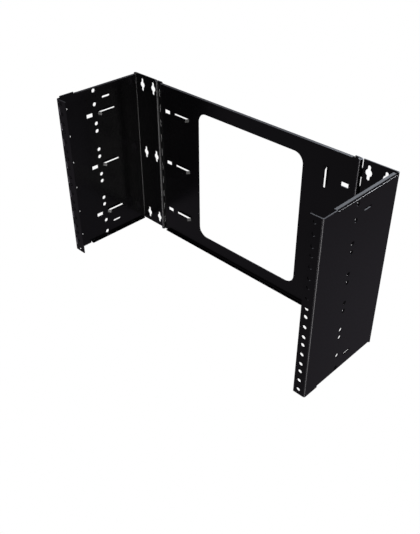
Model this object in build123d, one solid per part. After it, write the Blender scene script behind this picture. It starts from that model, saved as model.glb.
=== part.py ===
from build123d import *
from math import sqrt
import os

# Folding wall bracket for 19 inch rack gear: a back panel with a window and,
# hinged to each of its side edges, an L-shaped wing of bent sheet steel.
# Millimetres. +Z up, +Y into the wall, wall plane at y = 0, centreline at x = 0,
# z = 0 level with the lower row of wall screws.

# Sheet steel and how deep the wings reach
sheet = 1.5
bend_inside = 1.0
wing_depth = 152.4

# Rack hole grid
rack_units = 6
rack_unit = 44.45
rack_hole_offsets = (6.35, 22.225, 38.1)
rack_hole_span = 465.1
rack_hole_radius = 2.9

# Sheet beyond the rack hole grid, at each end and each side
end_margin = 1.4
rack_hole_inset = 11.0

# Rows of wall screws
screw_row_pitch = 118.1
screw_row_count = 3

# Hinges, set in from the outer faces of the wings
hinge_inset = 54.6
knuckle_count = 21
knuckle_gap = 0.4
knuckle_seam = 0.3
panel_clearance = 0.3
strip_clearance = 0.8
pin_radius = 1.5
pin_clearance = 0.1
pin_shortfall = 0.4

# Rack flanges, the left one wider, shorter at both ends and cut clear of its side panel
right_flange_width = 18.5
left_flange_width = 22.0
left_flange_drop = 2.5
left_flange_relief = 5.5

# Upright slots in the left rack flange, three at each strap level
flange_slot_length = 12.5
flange_slot_width = 2.4
flange_slot_inset = 4.9
flange_slot_pitch = 25.4

# Stiffening lips, a little lower than the sheet beside them
lip_width = 6.4
lip_drop = 1.0
panel_lip_end_gap = 10.3
right_lip_front_gap = 27.2
left_lip_front_gap = 31.0
wing_lip_rear_gap = 5.0
relief_width = 1.0

# Window
window_width = 200.6
window_height = 218.0
window_corner = 16.0

# Double keyholes in the wall strips, set in from the outer faces
keyhole_insets = (16.6, 42.0)
keyhole_radius = 5.1
keyhole_slot_width = 4.8
keyhole_length = 20.8

# Round holes in the side panels
side_hole_depth = 86.4
side_hole_radius = 3.2

# Short round-ended slots near the ends of the side panels
short_slot_depth = 63.8
short_slot_end_gap = 22.2
short_slot_length = 15.2
short_slot_width = 3.4

# Small holes behind the left rack flange, one a rack unit, set back from its face
edge_hole_inset = 14.4
edge_hole_radius = 2.1

# Strap slots and raised cable bridges, in rows two rack units apart
strap_slot_length = 11.6
strap_slot_height = 6.4
side_strap_depth = 97.6
strap_hinge_gap = 19.6
bridge_length = 33.0
bridge_width = 5.0
bridge_rise = 5.0
bridge_leg = 3.5
side_bridge_depth = 65.0
bridge_hinge_gap = 52.0

# Derived places
half_width = rack_hole_span / 2 + rack_hole_inset
panel_height = rack_units * rack_unit + 2 * end_margin
centre_z = screw_row_pitch * (screw_row_count - 1) / 2
top_z = centre_z + panel_height / 2
bottom_z = centre_z - panel_height / 2
rack_base_z = bottom_z + end_margin
bend_outside = bend_inside + sheet
hinge_x = half_width - hinge_inset
bore_radius = pin_radius + pin_clearance
barrel_radius = bore_radius + sheet
pitch = panel_height / knuckle_count
unit_middles = [rack_base_z + (unit + 0.5) * rack_unit for unit in range(rack_units)]
strap_spacing = 2 * rack_unit
levels = (centre_z - strap_spacing, centre_z, centre_z + strap_spacing)
lip_zone = lip_drop + bend_outside
edge_of_panel_lip = hinge_x - panel_lip_end_gap
level_names = ("lower", "middle", "upper")


def block(x_low, x_high, y_low, y_high, z_low, z_high):
    """A box between two corners."""
    size = (x_high - x_low, y_high - y_low, z_high - z_low)
    middle = ((x_low + x_high) / 2, (y_low + y_high) / 2, (z_low + z_high) / 2)
    return Pos(*middle) * Box(*size)


def through_y(outline, x, z):
    """A cutter along Y, through a sheet that lies on the wall plane."""
    face = Plane(origin=(x, 0, z), x_dir=(1, 0, 0), z_dir=(0, -1, 0)) * outline
    return extrude(face, amount=2 * sheet, both=True)


def through_x(outline, x, y, z):
    """A cutter along X, with the outline's first direction along Y."""
    face = Plane(origin=(x, y, z), x_dir=(0, 1, 0), z_dir=(1, 0, 0)) * outline
    return extrude(face, amount=2 * sheet, both=True)


def knuckle_levels(first):
    """Middle heights of every second knuckle from the bottom."""
    return [bottom_z + (n + 0.5) * pitch for n in range(first, knuckle_count, 2)]


def notch(clearance):
    """How far a leaf's edge stays from the hinge line to clear the barrel of the other leaf."""
    return sqrt((barrel_radius + clearance) ** 2 - (barrel_radius - sheet) ** 2)


def rolled_profile(side, inward, reach):
    """Section of a knuckle: sheet that leaves the leaf and curls round the pin to a seam."""
    axis_x = side * hinge_x
    root = Pos(axis_x + inward * reach / 2, -sheet / 2) * Rectangle(reach, sheet)
    seam_y = -sheet - knuckle_seam / 2
    seam = Pos(axis_x + inward * barrel_radius / 2, seam_y) * Rectangle(barrel_radius, knuckle_seam)
    curl = Pos(axis_x, -barrel_radius) * (Circle(barrel_radius) - Circle(bore_radius))
    return root + (curl - seam)


def knuckles(side, inward, reach, first):
    """Every second knuckle of one hinge, reaching from its leaf to the hinge line."""
    profile = rolled_profile(side, inward, reach)
    length = pitch - knuckle_gap
    return [Pos(0, 0, z - length / 2) * extrude(profile, amount=length) for z in knuckle_levels(first)]


def double_keyhole():
    """Round centre with a slot above and below it."""
    slot = Rot(0, 0, 90) * SlotOverall(keyhole_length, keyhole_slot_width)
    return Circle(keyhole_radius) + slot


def back_panel():
    """Flat panel with its window, strap slots and cable bridge openings."""
    reach = notch(panel_clearance)
    edge = hinge_x - reach
    lip_end = edge_of_panel_lip + relief_width
    panel = block(-edge, edge, -sheet, 0, bottom_z + lip_zone, top_z - lip_zone)
    for side in (-1, 1):
        x_low, x_high = min(side * lip_end, side * edge), max(side * lip_end, side * edge)
        panel += block(x_low, x_high, -sheet, 0, bottom_z, top_z)
        for knuckle in knuckles(side, -side, reach, 0):
            panel += knuckle
    panel -= through_y(RectangleRounded(window_width, window_height, window_corner), 0, centre_z)
    strap_x, bridge_x = hinge_x - strap_hinge_gap, hinge_x - bridge_hinge_gap
    for z in levels:
        for side in (-1, 1):
            panel -= through_y(Rectangle(strap_slot_length, strap_slot_height), side * strap_x, z)
        panel -= through_y(Rectangle(bridge_length, bridge_width), -bridge_x, z)
        panel -= through_y(Rectangle(bridge_width, bridge_length), bridge_x, z)
    return panel


def lip_profile():
    """Section of a lip in its own plane: sheet bent through a right angle.

    The sheet it continues lies below the first axis, its outer face on the second axis.
    """
    with BuildSketch() as section:
        with BuildLine():
            Line((0, 0), (sheet, 0))
            RadiusArc((sheet, 0), (bend_outside, bend_inside), bend_inside)
            Line((bend_outside, bend_inside), (lip_width, bend_inside))
            Line((lip_width, bend_inside), (lip_width, bend_outside))
            Line((lip_width, bend_outside), (bend_outside, bend_outside))
            RadiusArc((bend_outside, bend_outside), (0, 0), -bend_outside)
        make_face()
    return section.sketch


def lip_start(top):
    """Height where a lip begins to bend away from its sheet."""
    return top_z - lip_zone if top else bottom_z + lip_zone


def panel_lip(top):
    """Lip along the top or bottom edge of the back panel."""
    up = 1 if top else -1
    plane = Plane(origin=(up * edge_of_panel_lip, 0, lip_start(top)), x_dir=(0, -1, 0), z_dir=(-up, 0, 0))
    return extrude(plane * lip_profile(), amount=2 * edge_of_panel_lip)


def lip_front(side):
    """Where the lips of a wing end toward the rack flange."""
    return -wing_depth + (left_lip_front_gap if side < 0 else right_lip_front_gap)


def wing_lip(side, top):
    """Lip along the top or bottom edge of a side panel."""
    along = side if top else -side
    length = -wing_lip_rear_gap - lip_front(side)
    start_y = -wing_lip_rear_gap if along < 0 else lip_front(side)
    origin = (side * half_width, start_y, lip_start(top))
    plane = Plane(origin=origin, x_dir=(-side, 0, 0), z_dir=(0, along, 0))
    return extrude(plane * lip_profile(), amount=length)


def wall_strip(side):
    """Strip of a wing that lies on the wall, with its knuckles and keyholes."""
    reach = notch(strip_clearance)
    inner, outer = side * (hinge_x + reach), side * (half_width - bend_outside)
    strip = block(min(inner, outer), max(inner, outer), -sheet, 0, bottom_z, top_z)
    for knuckle in knuckles(side, side, reach, 1):
        strip += knuckle
    for inset in keyhole_insets:
        for row in range(screw_row_count):
            x, z = side * (half_width - inset), row * screw_row_pitch
            strip -= through_y(double_keyhole(), x, z)
    return strip


def flange_drop(side):
    """How far a rack flange ends short of its side panel, at the top and at the bottom."""
    return left_flange_drop if side < 0 else 0


def bend(side, front):
    """Rounded corner between a side panel and its strip or flange."""
    out_x = side * (half_width - bend_outside)
    centre_y = -wing_depth + bend_outside if front else -bend_outside
    height = panel_height - 2 * flange_drop(side) if front else panel_height
    ring = Cylinder(bend_outside, height) - Cylinder(bend_inside, height)
    toward_y = -1 if front else 1
    keep = block(min(0, side * bend_outside), max(0, side * bend_outside),
                 min(0, toward_y * bend_outside), max(0, toward_y * bend_outside),
                 -height / 2, height / 2)
    return Pos(out_x, centre_y, centre_z) * (ring & keep)


def side_plate(side):
    """Side panel without openings: full height ends, cut back where the lips bend away."""
    inner_x, outer_x = side * (half_width - sheet), side * half_width
    x_low, x_high = min(inner_x, outer_x), max(inner_x, outer_x)
    front, rear = -wing_depth + bend_outside, -bend_outside
    front_relief = lip_front(side) - relief_width
    rear_relief = -wing_lip_rear_gap + relief_width
    drop = flange_drop(side)
    step_y = -wing_depth + left_flange_relief if drop else front
    plate = block(x_low, x_high, step_y, rear, bottom_z + lip_zone, top_z - lip_zone)
    plate += block(x_low, x_high, step_y, front_relief, bottom_z, top_z)
    plate += block(x_low, x_high, rear_relief, rear, bottom_z, top_z)
    if drop:
        plate += block(x_low, x_high, front, step_y, bottom_z + drop, top_z - drop)
    return plate + bend(side, True) + bend(side, False)


def side_hole_levels():
    """Heights over the middle: a pair about each unit's middle, the last hole by the end rack hole."""
    near = rack_hole_offsets[0]
    middles = [z - centre_z for z in unit_middles if z > centre_z]
    pairs = [z + step for z in middles for step in (-near, near)]
    return pairs[:-1] + [rack_units * rack_unit / 2 - near]


def side_panel(side):
    """Side panel with its round holes and slots, and on the left the strap features."""
    panel = side_plate(side)
    x = side * (half_width - sheet / 2)
    for up in (-1, 1):
        for level in side_hole_levels():
            panel -= through_x(Circle(side_hole_radius), x, -side_hole_depth, centre_z + up * level)
        slot = SlotOverall(short_slot_length, short_slot_width)
        slot_z = centre_z + up * (panel_height / 2 - short_slot_end_gap)
        panel -= through_x(slot, x, -short_slot_depth, slot_z)
    if side < 0:
        for z in levels:
            panel -= through_x(Rectangle(strap_slot_length, strap_slot_height), x, -side_strap_depth, z)
            panel -= through_x(Rectangle(bridge_length, bridge_width), x, -side_bridge_depth, z)
        for z in unit_middles:
            panel -= through_x(Circle(edge_hole_radius), x, -wing_depth + edge_hole_inset, z)
    return panel


def flange_slots():
    """Cutter for the upright slots in the left rack flange."""
    x = -half_width + flange_slot_inset
    face = Rot(0, 0, 90) * SlotOverall(flange_slot_length, flange_slot_width)
    cutters = [through_y(face, x, z + step * flange_slot_pitch) for z in levels for step in (-1, 0, 1)]
    return [Pos(0, -wing_depth + sheet, 0) * cutter for cutter in cutters]


def rack_flange(side):
    """Front flange of a wing, with three holes in each rack unit."""
    width = left_flange_width if side < 0 else right_flange_width
    outer, inner = side * (half_width - bend_outside), side * (half_width - width)
    low, high = bottom_z + flange_drop(side), top_z - flange_drop(side)
    flange = block(min(outer, inner), max(outer, inner), -wing_depth, -wing_depth + sheet, low, high)
    for unit in range(rack_units):
        for offset in rack_hole_offsets:
            z = rack_base_z + unit * rack_unit + offset
            hole = through_y(Circle(rack_hole_radius), side * rack_hole_span / 2, z)
            flange -= Pos(0, -wing_depth + sheet, 0) * hole
    if side < 0:
        for cutter in flange_slots():
            flange -= cutter
    return flange


def bridge():
    """Raised strip along the first axis, its feet on the first plane, arched up the third axis."""
    half = bridge_length / 2
    with BuildSketch(Plane.XZ) as section:
        with BuildLine():
            Polyline((-half, 0), (-half + bridge_leg, bridge_rise), (half - bridge_leg, bridge_rise),
                     (half, 0), (half, -sheet), (half - bridge_leg, bridge_rise - sheet),
                     (-half + bridge_leg, bridge_rise - sheet), (-half, -sheet), (-half, 0))
        make_face()
    return extrude(section.sketch, amount=bridge_width / 2, both=True)


def panel_bridge(side, z):
    """Cable bridge on the back panel: level on the left, upright on the right."""
    along = (1, 0, 0) if side < 0 else (0, 0, 1)
    bridge_x = side * (hinge_x - bridge_hinge_gap)
    return Plane(origin=(bridge_x, -sheet, z), x_dir=along, z_dir=(0, -1, 0)) * bridge()


def side_bridge(z):
    """Cable bridge on the inside of the left side panel."""
    origin = (-half_width + sheet, -side_bridge_depth, z)
    return Plane(origin=origin, x_dir=(0, 1, 0), z_dir=(1, 0, 0)) * bridge()


def hinge_pin(side):
    """Plain pin through all the knuckles of one hinge."""
    length = panel_height - 2 * pin_shortfall
    return Pos(side * hinge_x, -barrel_radius, centre_z) * Cylinder(pin_radius, length)


def build_all():
    """Every piece of the bracket by its node name."""
    pieces = {"back_panel": back_panel()}
    for top, end in ((True, "top"), (False, "bottom")):
        pieces[f"back_{end}_lip"] = panel_lip(top)
    for side, name in ((-1, "left"), (1, "right")):
        pieces[f"{name}_wall_strip"] = wall_strip(side)
        pieces[f"{name}_side_panel"] = side_panel(side)
        pieces[f"{name}_rack_flange"] = rack_flange(side)
        for top, end in ((True, "top"), (False, "bottom")):
            pieces[f"{name}_{end}_lip"] = wing_lip(side, top)
        pieces[f"{name}_hinge_pin"] = hinge_pin(side)
        for level, z in zip(level_names, levels):
            pieces[f"back_{name}_{level}_bridge"] = panel_bridge(side, z)
    for level, z in zip(level_names, levels):
        pieces[f"left_side_{level}_bridge"] = side_bridge(z)
    return pieces


os.makedirs("parts", exist_ok=True)
for node, piece in build_all().items():
    export_step(piece, f"parts/{node}.step")
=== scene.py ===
import bpy
from math import radians
from mathutils import Matrix, Vector

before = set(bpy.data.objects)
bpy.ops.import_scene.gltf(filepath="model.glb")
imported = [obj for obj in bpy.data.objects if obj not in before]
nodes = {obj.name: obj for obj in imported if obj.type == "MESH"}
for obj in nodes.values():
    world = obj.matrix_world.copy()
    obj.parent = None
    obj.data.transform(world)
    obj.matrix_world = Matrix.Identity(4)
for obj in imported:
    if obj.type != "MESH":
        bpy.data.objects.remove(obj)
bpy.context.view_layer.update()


def makeCamera(view):
    bpy.ops.object.camera_add(location=view["place"])
    camera = bpy.context.object
    camera.name = "photoCamera"
    turn = Matrix.Rotation(radians(view["turn"]), 3, "Z")
    tilt = Matrix.Rotation(radians(view["tilt"]), 3, "X")
    roll = Matrix.Rotation(radians(view["roll"]), 3, "Z")
    camera.rotation_euler = (turn @ tilt @ roll).to_euler()
    wide, high = view["imageSize"]
    longSide = max(wide, high)
    camera.data.sensor_width = view["sensorWidth"]
    camera.data.lens = view["sensorWidth"] * view["focalPixels"] / longSide
    camera.data.shift_x = (wide / 2 - view["centrePixel"][0]) / longSide
    camera.data.shift_y = (view["centrePixel"][1] - high / 2) / longSide
    bpy.context.scene.camera = camera


def newMaterial(name):
    material = bpy.data.materials.new(name)
    material.use_nodes = True
    material.node_tree.nodes.clear()
    return material, material.node_tree.nodes, material.node_tree.links


def newSurface(name):
    # A material with one shader, and the place of each point for its patterns
    material, tree, links = newMaterial(name)
    output = tree.new("ShaderNodeOutputMaterial")
    shader = tree.new("ShaderNodeBsdfPrincipled")
    links.new(shader.outputs["BSDF"], output.inputs["Surface"])
    return material, tree, links, shader, tree.new("ShaderNodeTexCoord")


def noise(tree, links, place, scale, detail):
    node = tree.new("ShaderNodeTexNoise")
    node.inputs["Scale"].default_value = scale
    node.inputs["Detail"].default_value = detail
    links.new(place.outputs["Object"], node.inputs["Vector"])
    return node.outputs["Fac"]


def mixColour(tree, links, factor, first, second):
    # Each colour is three numbers or a socket
    node = tree.new("ShaderNodeMix")
    node.data_type = "RGBA"
    for socket, colour in ((node.inputs["A"], first), (node.inputs["B"], second)):
        if isinstance(colour, tuple):
            socket.default_value = (*colour, 1)
        else:
            links.new(colour, socket)
    links.new(factor, node.inputs["Factor"])
    return node.outputs["Result"]


def between(tree, links, value, low, high):
    # From low to high as the value goes from 0 to 1
    node = tree.new("ShaderNodeMapRange")
    node.inputs["To Min"].default_value = low
    node.inputs["To Max"].default_value = high
    links.new(value, node.inputs["Value"])
    return node.outputs["Result"]


def ramp(tree, links, value, low, high):
    # 0 at low to 1 at high, level beyond them
    node = tree.new("ShaderNodeMapRange")
    node.inputs["From Min"].default_value = low
    node.inputs["From Max"].default_value = high
    links.new(value, node.inputs["Value"])
    return node.outputs["Result"]


def join(tree, links, kind, *values):
    # One sum over numbers and sockets, held between 0 and 1
    node = tree.new("ShaderNodeMath")
    node.operation = kind
    node.use_clamp = True
    for socket, value in zip(node.inputs, values):
        if isinstance(value, float):
            socket.default_value = value
        else:
            links.new(value, socket)
    return node.outputs[0]


def splitPlace(tree, links, place):
    node = tree.new("ShaderNodeSeparateXYZ")
    links.new(place.outputs["Object"], node.inputs["Vector"])
    return [node.outputs[axis] for axis in "XYZ"]


def paintBendHighlights(tree, links, place, sheet):
    # Painted highlight mask: 1 on the hinge barrels, less along the outside of the upright
    # bends, 0 on the flats
    sideways, depth, upright = splitPlace(tree, links, place)
    across = join(tree, links, "ABSOLUTE", sideways)
    bend = sheet["bendRadius"]
    outer = ramp(tree, links, across, sheet["halfWidth"] - bend, sheet["halfWidth"])
    front = ramp(tree, links, depth, -sheet["depth"] + bend, -sheet["depth"])
    rear = ramp(tree, links, depth, -bend, 0.0)
    ends = join(tree, links, "ADD", front, rear)
    corner = join(tree, links, "MULTIPLY", outer, ends)
    bends = join(tree, links, "MULTIPLY", corner, sheet["bendGain"])
    spot = tree.new("ShaderNodeCombineXYZ")
    links.new(across, spot.inputs["X"])
    links.new(depth, spot.inputs["Y"])
    away = tree.new("ShaderNodeVectorMath")
    away.operation = "DISTANCE"
    links.new(spot.outputs[0], away.inputs[0])
    away.inputs[1].default_value = (*sheet["hinge"], 0.0)
    barrel = join(tree, links, "LESS_THAN", away.outputs["Value"], sheet["barrelRadius"])
    # The painted highlight covers only the half of each barrel that is towards its wing
    outside = ramp(tree, links, across, sheet["hinge"][0] - bend, sheet["hinge"][0])
    barrelHighlight = join(tree, links, "MULTIPLY", barrel, outside)
    faint = join(tree, links, "MULTIPLY", bends, sheet["bendShare"])
    return join(tree, links, "MAXIMUM", faint, barrelHighlight)


def insideBox(tree, links, place, centre, half):
    # 1 where a point of the piece lies in the box, 0 elsewhere
    inside = 1.0
    for along, middle, reach in zip(splitPlace(tree, links, place), centre, half):
        near = join(tree, links, "COMPARE", along, middle, reach)
        inside = join(tree, links, "MULTIPLY", inside, near)
    return inside


def paintSlotHighlight(material, centre, half, steelAndHighlight):
    # Painted highlight: a light metallic colour on the walls of the slots
    tree, links = material.node_tree.nodes, material.node_tree.links
    shader = next(n for n in tree if n.type == "BSDF_PRINCIPLED")
    place = next(n for n in tree if n.type == "TEX_COORD")
    slotHighlight = insideBox(tree, links, place, centre, half)
    coated = shader.inputs["Base Color"].links[0].from_socket
    paintedHighlight = shader.inputs["Metallic"].links[0].from_socket
    links.new(mixColour(tree, links, slotHighlight, coated, steelAndHighlight), shader.inputs["Base Color"])
    links.new(join(tree, links, "MAXIMUM", paintedHighlight, slotHighlight), shader.inputs["Metallic"])


def makePowderCoat(name, coat, sheet):
    material, tree, links, shader, place = newSurface(name)

    # Slow drift of tone and gloss over the sheet, and a painted highlight: a lighter metallic
    # tone on the bends and hinge barrels
    cloud = noise(tree, links, place, coat["cloudScale"], coat["cloudDetail"])
    tone = mixColour(tree, links, cloud, coat["dark"], coat["light"])
    bendHighlight = paintBendHighlights(tree, links, place, sheet)
    links.new(mixColour(tree, links, bendHighlight, tone, coat["paintedHighlight"]), shader.inputs["Base Color"])
    links.new(bendHighlight, shader.inputs["Metallic"])
    gloss = between(tree, links, cloud, coat["roughLow"], coat["roughHigh"])
    links.new(gloss, shader.inputs["Roughness"])

    # Fine orange peel of the baked powder
    bump = tree.new("ShaderNodeBump")
    bump.inputs["Strength"].default_value = coat["peelStrength"]
    bump.inputs["Distance"].default_value = coat["peelHeight"]
    peel = noise(tree, links, place, coat["peelScale"], coat["peelDetail"])
    links.new(peel, bump.inputs["Height"])
    links.new(bump.outputs["Normal"], shader.inputs["Normal"])
    return material


def makePinSteel(steelAndHighlight):
    material, tree, links, shader, place = newSurface("pinSteel")
    shader.inputs["Metallic"].default_value = 1.0
    grain = noise(tree, links, place, steelAndHighlight["grainScale"], steelAndHighlight["grainDetail"])
    tone = mixColour(tree, links, grain, steelAndHighlight["dark"], steelAndHighlight["light"])
    links.new(tone, shader.inputs["Base Color"])
    gloss = between(tree, links, grain, steelAndHighlight["roughLow"], steelAndHighlight["roughHigh"])
    links.new(gloss, shader.inputs["Roughness"])
    return material


def seenWhite(tree, links, behind):
    # White to the camera alone, the given shader's light to everything else
    path = tree.new("ShaderNodeLightPath")
    white = tree.new("ShaderNodeEmission")
    white.inputs["Strength"].default_value = 1.0
    pick = tree.new("ShaderNodeMixShader")
    links.new(path.outputs["Is Camera Ray"], pick.inputs["Fac"])
    links.new(behind.outputs[0], pick.inputs[1])
    links.new(white.outputs["Emission"], pick.inputs[2])
    return pick.outputs[0]


def makeFloor(level, size, tint):
    bpy.ops.mesh.primitive_plane_add(size=size, location=(0, 0, level))
    floor = bpy.context.object
    floor.name = "floor"
    material, tree, links = newMaterial("paleFloor")
    output = tree.new("ShaderNodeOutputMaterial")
    pale = tree.new("ShaderNodeBsdfDiffuse")
    pale.inputs["Color"].default_value = (*tint, 1)
    links.new(seenWhite(tree, links, pale), output.inputs["Surface"])
    floor.data.materials.append(material)


def makeWorld(strength, tint):
    world = bpy.data.worlds.new("studio")
    world.use_nodes = True
    tree, links = world.node_tree.nodes, world.node_tree.links
    tree.clear()
    output = tree.new("ShaderNodeOutputWorld")
    soft = tree.new("ShaderNodeBackground")
    soft.inputs["Color"].default_value = (*tint, 1)
    soft.inputs["Strength"].default_value = strength
    links.new(seenWhite(tree, links, soft), output.inputs["Surface"])
    bpy.context.scene.world = world


def makeSoftbox(name, place, aim, size, power, tint, spread):
    bpy.ops.object.light_add(type="AREA", location=place)
    light = bpy.context.object
    light.name = name
    light.data.shape = "RECTANGLE"
    light.data.size, light.data.size_y = size
    light.data.energy = power
    light.data.color = tint
    light.data.spread = radians(spread)
    light.rotation_euler = (Vector(place) - Vector(aim)).to_track_quat("Z", "Y").to_euler()


# From the photograph, where the rack holes and panel corners fix it; angles in degrees
photoView = {
    "place": (0.5881, -0.6737, 0.6302), "turn": 43.19, "tilt": 55.27, "roll": 0.743,
    "imageSize": (420, 534), "centrePixel": (224.05, 256.6), "focalPixels": 679.1,
    "sensorWidth": 36.0,
}
makeCamera(photoView)

makeFloor(level=-0.75, size=12.0, tint=(0.8, 0.8, 0.8))
makeWorld(strength=0.125, tint=(0.94, 0.85, 1.0))

# Weak panels with a narrow beam: what each lights is in its name. Power in watts
softboxes = {
    "topGlow": {
        "place": (-0.62, 0.85, 0.86), "aim": (0.05, -0.05, 0.25), "size": (1.6, 0.45),
        "power": 0.17, "tint": (0.86, 0.91, 1.0), "spread": 50,
    },
    "lipGlow": {
        "place": (-0.29, 0.90, 0.83), "aim": (0.24, -0.06, 0.25), "size": (0.35, 0.3),
        "power": 0.046, "tint": (0.84, 0.90, 1.0), "spread": 50,
    },
    "rearStrip": {
        "place": (1.00, 0.85, 0.33), "aim": (0.24, -0.08, 0.25), "size": (0.1, 0.1),
        "power": 0.18, "tint": (0.92, 0.95, 1.0), "spread": 50,
    },
    "wingLegGlow": {
        "place": (0.02, -1.15, -0.43), "aim": (-0.24, -0.115, 0.118), "size": (0.3, 0.6),
        "power": 0.29, "tint": (1.0, 0.99, 0.97), "spread": 50,
    },
    "backLegGlow": {
        "place": (0.80, -0.49, -0.43), "aim": (-0.145, -0.004, 0.118), "size": (0.3, 0.6),
        "power": 0.13, "tint": (1.0, 0.99, 0.97), "spread": 50,
    },
    "wingFloorGlow": {
        "place": (1.05, 0.85, -0.25), "aim": (1.05, 0.85, -0.75), "size": (0.7, 0.7),
        "power": 0.062, "tint": (0.80, 0.82, 1.0), "spread": 90,
    },
}
for name, softbox in softboxes.items():
    makeSoftbox(name, **softbox)
print("stage made")

# Where the bends and barrels of the sheets lie, and how strong the painted highlight on them
# is
sheet = {
    "halfWidth": 0.24355, "depth": 0.1524, "bendRadius": 0.0025,
    "hinge": (0.18895, -0.0031), "barrelRadius": 0.0033,
    "bendGain": 2.0, "bendShare": 0.85,
}
# The coat's lighter metallic colour is the painted highlight on the bends and hinge barrels
coat = {
    "dark": (0.0022, 0.0021, 0.0027), "light": (0.0036, 0.0034, 0.0041),
    "paintedHighlight": (0.155, 0.155, 0.16), "roughLow": 0.20, "roughHigh": 0.27,
    "cloudScale": 14.0, "cloudDetail": 4.0,
    "peelScale": 2600.0, "peelDetail": 3.0, "peelStrength": 0.15, "peelHeight": 0.00004,
}
powderCoat = makePowderCoat("powderCoat", coat, sheet)

# The left rack flange, with a painted highlight on the walls of the slots along its bend
slotWalls = {
    "centre": (-0.23865, -0.15165, 0.1181), "half": (0.0013, 0.0007, 0.125),
    "steelAndHighlight": (0.78, 0.78, 0.80),
}
slottedCoat = makePowderCoat("slottedCoat", coat, sheet)
paintSlotHighlight(slottedCoat, **slotWalls)

darkSteel = {
    "dark": (0.05, 0.05, 0.055), "light": (0.16, 0.16, 0.165),
    "grainScale": 1500.0, "grainDetail": 2.0, "roughLow": 0.3, "roughHigh": 0.5,
}
pinSteel = makePinSteel(darkSteel)

finishes = {
    "left_hinge_pin": pinSteel, "right_hinge_pin": pinSteel,
    "left_rack_flange": slottedCoat,
}
for name, node in nodes.items():
    for slot in node.material_slots:
        slot.material = finishes.get(name, powderCoat)
print("finishes set")

bpy.context.scene.view_settings.view_transform = "Standard"
